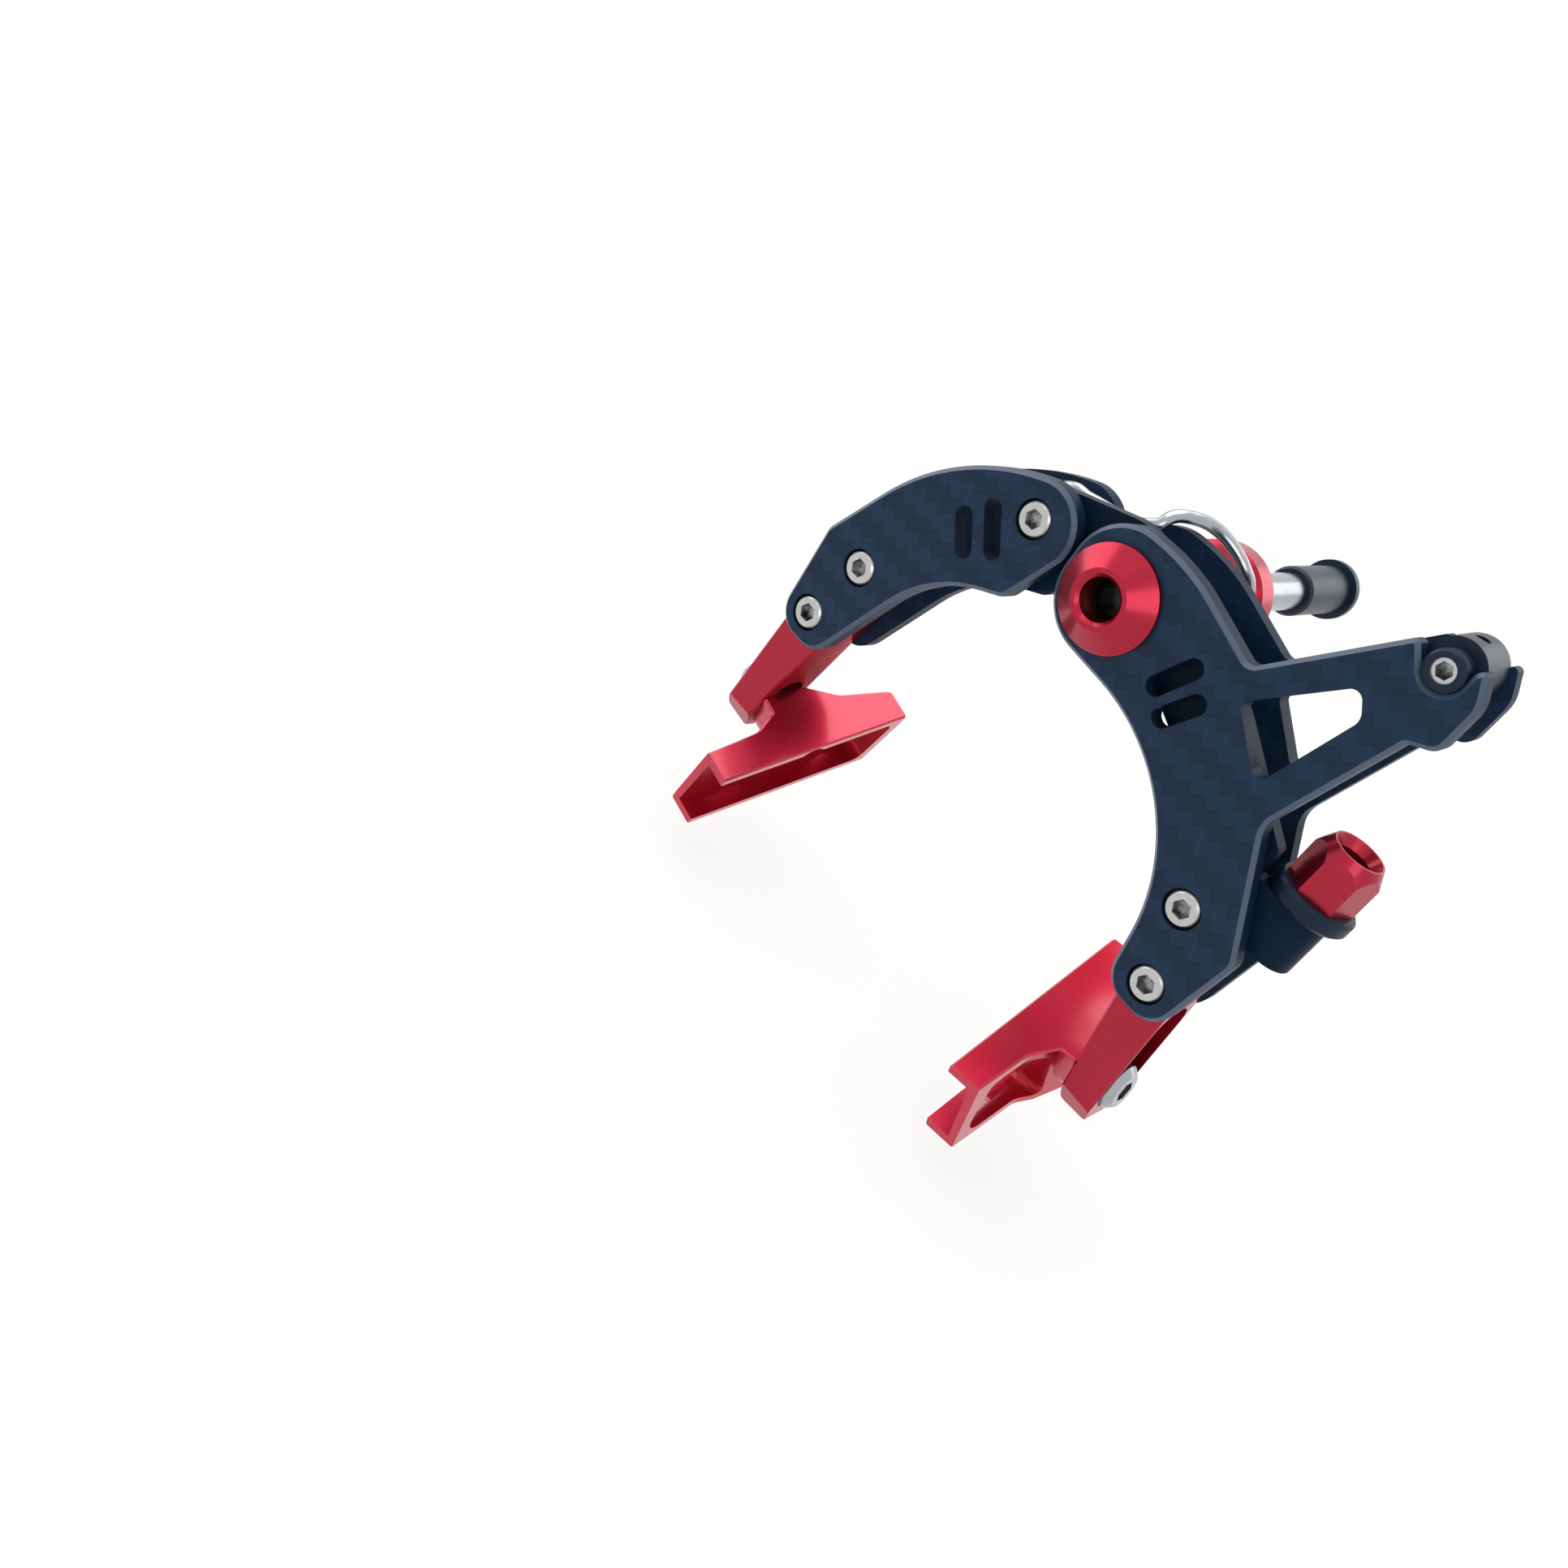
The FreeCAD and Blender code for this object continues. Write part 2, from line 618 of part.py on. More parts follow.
def pad_bracket(label, hand):
    body = new_body(label)
    boss_top = size("bolt_upper_z") + BRACKET_BOSS
    outline = [
        (size("bolt_upper_x") - BRACKET_BOSS, boss_top, BRACKET_BOSS - 0.2),
        (size("bolt_upper_x") + BRACKET_BOSS - 0.1, boss_top, BRACKET_BOSS - 0.2),
        (size("bolt_upper_x") + BRACKET_BOSS - 0.1, size("bolt_upper_z") - 1.4, 3.0),
        (size("bolt_lower_x") + BRACKET_SHOULDER, size("bolt_lower_z") + BRACKET_SHOULDER / 2, BRACKET_ARM_ROUND),
        (BRACKET_OUTER_X, end_z + BRACKET_END_RISE, 0.8),
        (bracket_inner(end_z), end_z, 0.8),
        (BRACKET_INNER_X, BRACKET_INNER_Z, BRACKET_ARM_ROUND),
        (size("bolt_upper_x") - BRACKET_BOSS + 0.2, size("bolt_upper_z") - 2.0, 5.0),
    ]
    shapes = rounded([(hand * across, up, radius) for across, up, radius in outline])
    bar = pad(body, label + "_bar", front_sketch(body, label + "_outline", shapes, front_back), "sizes.plate_gap", True)
    doc.recompute()
    break_edges(body, label + "_edges", bar, rim_edges(body, "Y", front_back, rear_front), "sizes.metal_edge_break")
    holes = [circle(hand * across, up, screw_hole) for across, up in main_bolts]
    pocket(body, label + "_taps", front_sketch(body, label + "_tap_shapes", holes, front_back))
    bevel = polygon([
        (front_back, end_z + size("bracket_bevel")),
        (front_back, end_z),
        (front_back + size("bracket_bevel") * math.tan(math.radians(35.0)), end_z),
    ])
    pocket(body, label + "_bevel", new_sketch(body, label + "_bevel_shape", "YZ_Plane", bevel))
    wide = 2 * (size("shoe_bolt_radius") + size("hole_clearance") * 2)
    reach = wide / 2
    travel = slot((0, -reach), (0, reach + size("shoe_slot_travel")), wide)
    square = FreeCAD.Placement(vector(middle_y, size("shoe_bolt_z"), hand * bolt_x),
                               FreeCAD.Rotation(vector(1, 0, 0), -hand * size("bracket_tilt")))
    slot_sketch = new_sketch(body, label + "_slot_shape", "YZ_Plane", travel)
    slot_sketch.AttachmentOffset = square
    pocket(body, label + "_slot", slot_sketch)
    track = size("shoe_washer_radius") + size("track_clearance")
    seat = slot((0, -track), (0, track + size("bracket_track_length")), 2 * track)
    seat_sketch = new_sketch(body, label + "_seat_shape", "YZ_Plane", seat)
    seat_sketch.AttachmentOffset = square.multiply(
        FreeCAD.Placement(vector(0, 0, hand * size("shoe_bolt_seat")), FreeCAD.Rotation()))
    pocket(body, label + "_seat", seat_sketch, BRACKET_TRACK_CUT, hand > 0)
    return body


pad_bracket("main_bracket", 1)
pad_bracket("side_bracket", -1)


# Shoes and their bolts, drawn on their own axes: X along the bolt to the rim, Y to the closed end.
def shoe_frame(hand, roll):
    """Place on the bracket's inner face, turned about the bolt."""
    inward = FreeCAD.Vector(-hand * math.cos(tilt), 0, -math.sin(tilt))
    rear = FreeCAD.Vector(0, 1, 0)
    across = inward.cross(rear)
    turn = FreeCAD.Rotation(inward, rear, across, "XYZ")
    spin = FreeCAD.Rotation(vector(1, 0, 0), roll)
    return FreeCAD.Placement(FreeCAD.Vector(hand * bolt_x, middle_y, size("shoe_bolt_z")), turn.multiply(spin))


SHOE_GAP = 0.05
SHOE_FLARE = 9.5
SHOE_FLARE_RISE = 2.3
SHOE_FLARE_FRONT = 8.0
SHOE_FLARE_FALL = 0.7
SHOE_BOSS_REAR = 4.4
SHOE_BOSS_FRONT = 1.5
SHOE_UNDERCUT = 3.9
SHOE_OVERCUT = 1.0
SHOE_POCKET_NEAR = 4.3
SHOE_MOUTH_BAR = 2.3
SHOE_NOSE_BAR = 2.7
SHOE_WINDOW_HEIGHT = 4.0
SHOE_WINDOW_RIM = 0.6


def pad_shoe(label, hand, roll):
    """A channel that is open at one end, with a slanted nose, a flared boss and a lightened back."""
    body = new_body(label)
    up = -hand
    low = min(-up * size("shoe_below"), up * size("shoe_above"))
    high = max(-up * size("shoe_below"), up * size("shoe_above"))
    middle = (low + high) / 2
    depth = size("shoe_depth")
    open_end = -size("shoe_open_length")
    closed_end = size("shoe_closed_length")
    web_back = depth - size("shoe_channel_depth") - size("shoe_web")
    back = web_back - size("shoe_back_rim")
    plan = rounded([
        (depth, open_end, 0.4),
        (depth, closed_end, 0.6),
        (back, closed_end, 1.0),
        (back - SHOE_FLARE_RISE, SHOE_FLARE, 5.0),
        (SHOE_GAP, SHOE_BOSS_REAR, 1.6),
        (SHOE_GAP, SHOE_BOSS_FRONT, 1.2),
        (back - SHOE_FLARE_FALL, -SHOE_FLARE_FRONT, 4.0),
        (back, open_end, 0.4),
    ])
    blank = pad(body, label + "_blank", new_sketch(body, label + "_plan", "XY_Plane", plan, low), high - low)
    doc.recompute()
    break_edges(body, label + "_edges", blank, rim_edges(body, "Z", low, high), "sizes.metal_edge_break")
    tip = up * size("shoe_above")
    heel = -up * size("shoe_below")
    over = up * SHOE_OVERCUT
    nose = polygon([
        (closed_end + SHOE_OVERCUT, tip),
        (closed_end, tip),
        (closed_end - size("shoe_nose_slant"), heel),
        (closed_end - size("shoe_nose_slant"), heel - over),
        (closed_end + SHOE_OVERCUT, heel - over),
    ])
    mouth = polygon([
        (open_end - SHOE_OVERCUT, heel),
        (open_end, heel),
        (open_end + size("shoe_mouth_slant"), tip),
        (open_end + size("shoe_mouth_slant"), tip + over),
        (open_end - SHOE_OVERCUT, tip + over),
    ])
    pocket(body, label + "_ends", new_sketch(body, label + "_end_shapes", "YZ_Plane", nose + mouth))
    undercut = polygon([
        (-SHOE_OVERCUT, -up * size("shoe_boss_drop")),
        (0, -up * size("shoe_boss_drop")),
        (SHOE_UNDERCUT, heel),
        (SHOE_UNDERCUT, heel - over),
        (-SHOE_OVERCUT, heel - over),
    ])
    pocket(body, label + "_undercut", new_sketch(body, label + "_undercut_shape", "XZ_Plane", undercut))
    wall = size("shoe_wall")
    slant = size("shoe_nose_slant")
    tip_in = tip - up * wall
    heel_in = heel + up * wall
    channel = rounded([
        (open_end - SHOE_OVERCUT, tip_in, 0),
        (closed_end - wall * 1.6, tip_in, 1.2),
        (closed_end - slant - wall, heel_in, 2.0),
        (open_end - SHOE_OVERCUT, heel_in, 0),
    ])
    pocket(body, label + "_channel", new_sketch(body, label + "_channel_shape", "YZ_Plane", channel, depth),
           "sizes.shoe_channel_depth")
    mouth_slant = size("shoe_mouth_slant")
    rear_ends = (closed_end - SHOE_NOSE_BAR, closed_end - slant - SHOE_NOSE_BAR)
    front_ends = (open_end + mouth_slant + SHOE_MOUTH_BAR, open_end + SHOE_MOUTH_BAR)
    hollows = []
    windows = []
    for side, (far_tip, far_heel) in ((1, rear_ends), (-1, front_ends)):
        near = side * SHOE_POCKET_NEAR
        hollows += rounded([
            (near, heel_in, 1.6),
            (far_heel, heel_in, 2.0),
            (far_tip, tip_in, 2.0),
            (near, tip_in, 1.6),
        ])
        inset = side * (SHOE_WINDOW_HEIGHT / 2 + SHOE_WINDOW_RIM)
        windows += slot((near + inset, middle), ((far_tip + far_heel) / 2 - inset, middle), SHOE_WINDOW_HEIGHT)
    pocket(body, label + "_hollows", new_sketch(body, label + "_hollow_shapes", "YZ_Plane", hollows), web_back, True)
    pocket(body, label + "_windows", new_sketch(body, label + "_window_shapes", "YZ_Plane", windows))
    half = size("shoe_boss_half")
    sole = -up * size("shoe_boss_drop")
    boss = rounded([(-half, tip, 0.4), (half, tip, 0.4), (half, sole, half - 0.3), (-half, sole, half - 0.3)])
    pad(body, label + "_boss", new_sketch(body, label + "_boss_shape", "YZ_Plane", boss, SHOE_GAP), web_back)
    tapped = [circle(0, 0, size("shoe_bolt_radius") + size("thread_play"))]
    pocket(body, label + "_tap", new_sketch(body, label + "_tap_shape", "YZ_Plane", tapped))
    body.Placement = shoe_frame(hand, roll)
    return body


SHOE_KEY = 3.0
SHOE_KEY_DEPTH = 1.6
SHOE_HEAD_DOME = 1.0
ON_BOLT = FreeCAD.Rotation(vector(0, 0, 1), -90)


def shoe_bolt(label, hand):
    """Round-headed bolt through the bracket's slot into the shoe, with its washer."""
    seat = -size("shoe_bolt_seat")
    under_head = seat - size("shoe_washer_thick")
    head_top = under_head - size("shoe_bolt_head_height")
    tip = size("shoe_depth") - size("shoe_channel_depth") - size("axial_play")
    bolt = turned(label + "_bolt", [
        (0, head_top),
        (size("shoe_bolt_head_radius") - SHOE_HEAD_DOME, head_top),
        (size("shoe_bolt_head_radius"), head_top + SHOE_HEAD_DOME),
        (size("shoe_bolt_head_radius"), under_head),
        (size("shoe_bolt_radius"), under_head),
        (size("shoe_bolt_radius"), tip),
        (0, tip),
    ])
    pocket(bolt, label + "_socket", front_sketch(bolt, label + "_key", hexagon(0, 0, SHOE_KEY), head_top), SHOE_KEY_DEPTH)
    ring = turned(label + "_washer", [
        (size("shoe_bolt_radius") + size("hole_clearance"), under_head),
        (size("shoe_washer_radius"), under_head),
        (size("shoe_washer_radius"), seat),
        (size("shoe_bolt_radius") + size("hole_clearance"), seat),
    ])
    place = shoe_frame(hand, 0).multiply(FreeCAD.Placement(vector(0, 0), ON_BOLT))
    for piece in (bolt, ring):
        piece.Placement = place


pad_shoe("main_shoe", 1, -size("main_shoe_roll"))
shoe_bolt("main_shoe", 1)
pad_shoe("side_shoe", -1, size("side_shoe_roll"))
shoe_bolt("side_shoe", -1)


# Cable anchor barrel that lies in the open notches of the tower, with its clamp screw.
ANCHOR_STAND = 0.3
ANCHOR_CHAMFER = 0.35
body_front = front_back + size("axial_play") * 3
body_rear = rear_front - size("axial_play") * 3
anchor_front = front_face - ANCHOR_STAND
anchor_rear = rear_front + size("plate_thick") + ANCHOR_STAND
anchor = turned("cable_anchor", [
    (0, anchor_front),
    (size("anchor_end_radius") - ANCHOR_CHAMFER, anchor_front),
    (size("anchor_end_radius"), anchor_front + ANCHOR_CHAMFER),
    (size("anchor_end_radius"), body_front),
    (size("anchor_body_radius"), body_front),
    (size("anchor_body_radius"), body_rear),
    (size("anchor_end_radius"), body_rear),
    (size("anchor_end_radius"), anchor_rear),
    (0, anchor_rear),
])
clamp_hole = [circle(0, 0, size("anchor_screw_radius") + size("thread_play"))]
clamp_end = middle_y - size("cable_hole_radius")
pocket(anchor, "clamp_hole", front_sketch(anchor, "clamp_hole_shape", clamp_hole, anchor_front), middle_y - anchor_front)
cable_hole = [circle(0, middle_y, size("cable_hole_radius"))]
pocket(anchor, "cable_hole", new_sketch(anchor, "cable_hole_shape", "XY_Plane", cable_hole))
cable_lean = math.degrees(math.atan2(size("adjuster_x") - size("anchor_x"), size("anchor_z") - size("lug_top_z")))
anchor_place = FreeCAD.Placement(vector(size("anchor_x"), 0, size("anchor_z")),
                                 FreeCAD.Rotation(vector(0, 1, 0), -cable_lean))
anchor.Placement = anchor_place
ANCHOR_KEY = 2.0
ANCHOR_KEY_DEPTH = 1.8
clamp = turned("anchor_screw", [
    (0, anchor_front + ANCHOR_CHAMFER),
    (size("anchor_screw_radius"), anchor_front + ANCHOR_CHAMFER),
    (size("anchor_screw_radius"), clamp_end),
    (0, clamp_end),
])
pocket(clamp, "anchor_socket", front_sketch(clamp, "anchor_key", hexagon(0, 0, ANCHOR_KEY), anchor_front + ANCHOR_CHAMFER),
       ANCHOR_KEY_DEPTH)
clamp.Placement = anchor_place

# Cable adjuster: a hollow barrel with a hexagon head, screwed down through the lug.
HEX_BEVEL = 1.25
HEX_BEVEL_SLOPE = 2.0
HEX_TURN = 13.0
FERRULE_MOUTH = 3.5
FERRULE_LEAD = 1.4
BARREL_END = 0.3
ring_low = size("lug_top_z") + size("axial_play")
ring_high = ring_low + size("lock_ring_height")
hex_low = ring_high + size("axial_play")
hex_high = hex_low + size("adjuster_hex_height")
barrel = new_body("adjuster_barrel")
hex_shape = new_sketch(barrel, "hex_shape", "XY_Plane", hexagon(0, 0, size("adjuster_hex_across")), hex_low)
pad(barrel, "hex_head", hex_shape, "sizes.adjuster_hex_height")
hex_corner = size("adjuster_hex_across") / math.sqrt(3)
bevel_cut = polygon([
    (hex_corner - HEX_BEVEL, hex_high),
    (hex_corner + HEX_BEVEL, hex_high),
    (hex_corner + HEX_BEVEL, hex_high - 2 * HEX_BEVEL * HEX_BEVEL_SLOPE),
])
lead_cut = polygon([
    (size("adjuster_bore"), hex_high),
    (FERRULE_MOUTH, hex_high),
    (size("adjuster_bore"), hex_high - FERRULE_LEAD),
])
bevel_groove = barrel.newObject("PartDesign::Groove", "hex_bevel")
bevel_groove.Profile = new_sketch(barrel, "hex_bevel_shape", "XZ_Plane", bevel_cut + lead_cut)
bevel_groove.ReferenceAxis = (bevel_groove.Profile[0], ["V_Axis"])
bevel_groove.Angle = FULL_TURN
tube_low = lug_low - BARREL_END
tube_shape = new_sketch(barrel, "tube_shape", "XY_Plane", [circle(0, 0, size("adjuster_radius"))], tube_low)
pad(barrel, "tube", tube_shape, hex_low - tube_low)
ferrule = new_sketch(barrel, "ferrule_shape", "XY_Plane", [circle(0, 0, size("adjuster_bore"))], hex_high)
pocket(barrel, "ferrule_seat", ferrule, "sizes.adjuster_bore_depth")
wire_way = new_sketch(barrel, "wire_way_shape", "XY_Plane", [circle(0, 0, size("cable_hole_radius"))], hex_high)
pocket(barrel, "wire_way", wire_way)
adjuster_place = FreeCAD.Placement(vector(size("adjuster_x"), lug_y), FreeCAD.Rotation())
barrel.Placement = FreeCAD.Placement(adjuster_place.Base, FreeCAD.Rotation(vector(0, 0, 1), HEX_TURN))

RING_CHAMFER = 0.5
ring = new_body("lock_ring")
ring_profile = polygon([
    (size("adjuster_radius") + size("running_play"), ring_low),
    (size("lock_ring_radius") - RING_CHAMFER, ring_low),
    (size("lock_ring_radius"), ring_low + RING_CHAMFER),
    (size("lock_ring_radius"), ring_high - RING_CHAMFER),
    (size("lock_ring_radius") - RING_CHAMFER, ring_high),
    (size("adjuster_radius") + size("running_play"), ring_high),
])
revolve(ring, "ring_turning", new_sketch(ring, "ring_profile", "XZ_Plane", ring_profile))
ring.Placement = adjuster_place

# Return spring: a tang in the rear main plate, a coil on the spool and an arm hooked on the link sleeve.
COIL_TURNS = 2
COIL_STEPS = 12
ARM_SWEEP = (
    (32.0, 1.2, 0.0), (48.0, 2.1, 0.2), (62.0, 2.5, 1.2), (80.0, 2.9, 2.1),
    (97.0, 3.75, 4.2), (108.0, 4.2, 8.1), (114.0, 3.85, 11.2), (121.0, 2.5, 12.8),
)
HOOK_SWEEP = (80.0, 120.0, 160.0, 200.0, 240.0)
HOOK_PLAY = 0.35
coil_start = rear_back + size("wire_radius") + 0.9
hook_radius = LINK_SLEEVE + size("wire_radius") + HOOK_PLAY
hook_y = (link_back + rear_front) / 2


def round_stud(angle, radius, along):
    turn = math.radians(angle)
    return FreeCAD.Vector(radius * math.cos(turn), along, radius * math.sin(turn))


tang_degrees = math.degrees(tang_angle)
spring_path = [
    FreeCAD.Vector(tang_spot[0], rear_front + 0.5, tang_spot[1]),
    FreeCAD.Vector(tang_spot[0], rear_back - 0.9, tang_spot[1]),
    round_stud(tang_degrees + 1.0, size("coil_radius"), rear_back + 0.2),
]
coil_first = 15.0
coil_last = coil_first + COIL_TURNS * FULL_TURN
for step in range(COIL_TURNS * COIL_STEPS + 1):
    share = step / (COIL_TURNS * COIL_STEPS)
    angle = coil_first + share * (coil_last - coil_first)
    spring_path.append(round_stud(angle, size("coil_radius"), coil_start + share * COIL_TURNS * size("coil_pitch")))
coil_end_y = coil_start + COIL_TURNS * size("coil_pitch")
for angle, spread, forward in ARM_SWEEP:
    spring_path.append(round_stud(angle, size("coil_radius") + spread, coil_end_y + 0.4 - forward))
for angle in HOOK_SWEEP:
    turn = math.radians(angle)
    spring_path.append(FreeCAD.Vector(link_bolt_spot[0] + hook_radius * math.cos(turn), hook_y,
                                      link_bolt_spot[1] + hook_radius * math.sin(turn)))
spring_curve = Part.BSplineCurve()
spring_curve.interpolate(spring_path)
spring_wire = Part.Wire([spring_curve.toShape()])
section = Part.Wire([Part.Circle(spring_path[0], FreeCAD.Vector(0, 1, 0), size("wire_radius")).toShape()])
spring = doc.addObject("Part::Feature", "return_spring")
spring.Label = "return_spring"
spring.Shape = spring_wire.makePipeShell([section], True, True)
NODES.append(spring)

doc.recompute()
for item in doc.Objects:
    for flag in item.State:
        if flag in ("Invalid", "Error"):
            raise RuntimeError("%s is %s" % (item.Label, flag))
os.makedirs("parts", exist_ok=True)
for node in NODES:
    if node.Shape.isNull() or not node.Shape.isValid():
        raise RuntimeError("%s has no sound shape" % node.Label)
    node.Shape.exportStep("parts/%s.step" % node.Label)
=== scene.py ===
import math

import bpy
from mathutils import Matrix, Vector


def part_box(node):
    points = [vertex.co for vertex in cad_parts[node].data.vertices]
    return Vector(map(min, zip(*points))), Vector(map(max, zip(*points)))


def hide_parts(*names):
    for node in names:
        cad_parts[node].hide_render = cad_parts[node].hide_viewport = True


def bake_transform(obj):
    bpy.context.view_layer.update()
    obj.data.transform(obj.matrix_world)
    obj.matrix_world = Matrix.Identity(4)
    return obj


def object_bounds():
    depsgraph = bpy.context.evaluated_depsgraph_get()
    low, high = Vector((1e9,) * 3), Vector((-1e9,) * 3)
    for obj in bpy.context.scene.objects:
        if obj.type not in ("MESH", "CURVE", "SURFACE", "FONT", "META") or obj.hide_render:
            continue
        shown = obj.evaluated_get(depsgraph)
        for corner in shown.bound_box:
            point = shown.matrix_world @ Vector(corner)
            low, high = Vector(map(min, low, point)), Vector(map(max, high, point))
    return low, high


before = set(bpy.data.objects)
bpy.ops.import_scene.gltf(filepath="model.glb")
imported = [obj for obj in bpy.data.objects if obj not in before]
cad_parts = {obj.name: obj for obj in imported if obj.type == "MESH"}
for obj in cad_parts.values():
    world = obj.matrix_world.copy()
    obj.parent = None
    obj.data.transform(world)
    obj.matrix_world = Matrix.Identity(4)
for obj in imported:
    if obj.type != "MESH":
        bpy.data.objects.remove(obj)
cad_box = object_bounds()
MM = 0.001


# Centre stud: a ground steel rod that carries the whole brake and passes through the fork.
# It is left bright, with the faint rings of turning; its front end in the cap is painted near-black, a
# painted shade for the deep bore.
class Shade:
    """One output socket of a finish's node tree; sums written on it add Math nodes."""

    def __init__(self, tree, socket=None):
        self.tree = tree
        self.socket = socket

    def node(self, kind, settings, values, output=0):
        made = self.tree.nodes.new(kind)
        for name, value in settings.items():
            setattr(made, name, value)
        for name, value in values.items():
            if isinstance(value, Shade):
                self.tree.links.new(value.socket, made.inputs[name])
            else:
                made.inputs[name].default_value = value
        return Shade(self.tree, made.outputs[output])

    def maths(self, operation, first, second=0.0):
        return self.node("ShaderNodeMath", {"operation": operation}, {0: first, 1: second})

    def __add__(self, other):
        return self.maths("ADD", self, other)

    def __radd__(self, other):
        return self.maths("ADD", other, self)

    def __sub__(self, other):
        return self.maths("SUBTRACT", self, other)

    def __rsub__(self, other):
        return self.maths("SUBTRACT", other, self)

    def __mul__(self, other):
        return self.maths("MULTIPLY", self, other)

    def __rmul__(self, other):
        return self.maths("MULTIPLY", other, self)

    def mix(self, low, high):
        """A colour between two, by this value."""
        return self.node("ShaderNodeMix", {"data_type": "RGBA"}, {0: self, 6: low, 7: high}, 2)


def new_finish(name, **sockets):
    """A material with its Principled shader, and a Shade to draw its nodes from."""
    material = bpy.data.materials.new(name)
    material.use_nodes = True
    shader = material.node_tree.nodes["Principled BSDF"]
    for socket, value in sockets.items():
        shader.inputs[socket.replace("_", " ")].default_value = value
    return material, shader, Shade(material.node_tree)


def feed(shader, **links):
    for socket, value in links.items():
        value.tree.links.new(value.socket, shader.inputs[socket.replace("_", " ")])


def place(shade):
    """The three Object coordinates at a point of the surface, and the whole vector."""
    vector = shade.node("ShaderNodeTexCoord", {}, {}, "Object")
    return vector, [shade.node("ShaderNodeSeparateXYZ", {}, {0: vector}, axis) for axis in range(3)]


def noise(shade, vector, scale, detail=2.0):
    """Soft noise with about this many cells to the metre."""
    return shade.node("ShaderNodeTexNoise", {}, {"Vector": vector, "Scale": scale, "Detail": detail})


def bump(shade, height, distance):
    return shade.node("ShaderNodeBump", {}, {"Height": height, "Distance": distance, "Strength": 1.0})


def waves(shade, along, pitch):
    """A sine along one coordinate, with one wave in each pitch."""
    return shade.maths("SINE", along * (2 * math.pi / pitch))


def dress(material, *nodes):
    for node in nodes:
        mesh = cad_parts[node].data
        mesh.materials.clear()
        mesh.materials.append(material)


STEEL = (0.42, 0.44, 0.47, 1)
STEEL_DULL = (0.30, 0.32, 0.35, 1)
# Painted shade: the near-black that stands in for the shade deep inside the cap's bore.
STEEL_PAINTED_SHADE = (0.010, 0.010, 0.012, 1)
STUD_SHADE_FROM = -30 * MM
STUD_RINGS = 0.35 * MM


def turned_steel(name, ring_pitch, shade_from):
    """Bright steel with turning rings along Y, dulled a little, and painted near-black in front of one place
    as painted shade.
    """
    material, shader, shade = new_finish(name, Metallic=1.0)
    vector, (x, y, z) = place(shade)
    rings = waves(shade, y, ring_pitch)
    cloud = noise(shade, vector, 160.0)
    grain = noise(shade, vector, 2600.0)
    # Painted shade: in front of the given Y the steel is painted near-black and rougher, for the shade in
    # the cap's bore.
    black = shade.maths("LESS_THAN", y, shade_from)
    feed(shader,
         Base_Color=black.mix((cloud * 1.2 - 0.1).mix(STEEL, STEEL_DULL), STEEL_PAINTED_SHADE),
         Roughness=0.16 + cloud * 0.10 + grain * 0.04 + black * 0.3,
         Normal=bump(shade, rings * 0.5 + grain, 0.002 * MM))
    return material


dress(turned_steel("stud_steel", STUD_RINGS, STUD_SHADE_FROM), "pivot_stud")


# Spool and sleeve nut: a red anodised spool behind the arms seats on the fork, and a black
# anodised nut draws the stud up from the rear. Both are turned from aluminium bar.
# Each red is a deep and a full colour that a soft cloud mixes; the shoes' red is painted brighter as a
# highlight.
RED = ((0.36, 0.0082, 0.029, 1), (0.42, 0.0105, 0.036, 1))
BLACK = (0.0018, 0.0100, 0.0260, 1)
BLACK_WORN = (0.0036, 0.0150, 0.0360, 1)
RED_RINGS = 0.22 * MM
FINE_GRAIN = 5200.0
FILM_GLOSS = 0.12


def red_anodised(name, satin, film, dye, ring_pitch=0.0):
    """Dyed aluminium: a satin grain under a thin clear film, with turning rings on lathe work."""
    material, shader, shade = new_finish(name, Metallic=0.9, Coat_Roughness=FILM_GLOSS, Coat_Weight=film)
    vector, (x, y, z) = place(shade)
    cloud = noise(shade, vector, 90.0)
    grain = noise(shade, vector, FINE_GRAIN)
    height = grain
    if ring_pitch:
        from_axis = shade.maths("POWER", x * x + z * z, 0.5)
        height = grain * 0.6 + waves(shade, from_axis, ring_pitch) * 0.4
    feed(shader,
         Base_Color=cloud.mix(*dye),
         Roughness=satin + cloud * 0.07 + grain * 0.06,
         Normal=bump(shade, height, 0.004 * MM))
    return material


def black_anodised(name, sheen):
    """Black aluminium with a fine satin grain, a touch paler where hands rub it."""
    material, shader, shade = new_finish(name, Specular_IOR_Level=sheen)
    vector, axes = place(shade)
    cloud = noise(shade, vector, 120.0)
    grain = noise(shade, vector, FINE_GRAIN)
    feed(shader,
         Base_Color=(cloud * 1.6 - 0.3).mix(BLACK, BLACK_WORN),
         Roughness=0.34 + cloud * 0.06 + grain * 0.04,
         Normal=bump(shade, grain, 0.0012 * MM))
    return material


red_turned = red_anodised("red_turned", satin=0.22, film=0.3, dye=RED, ring_pitch=RED_RINGS)
black_satin = black_anodised("black_satin", sheen=0.38)
dress(red_turned, "spool_spacer")
dress(black_satin, "sleeve_nut")


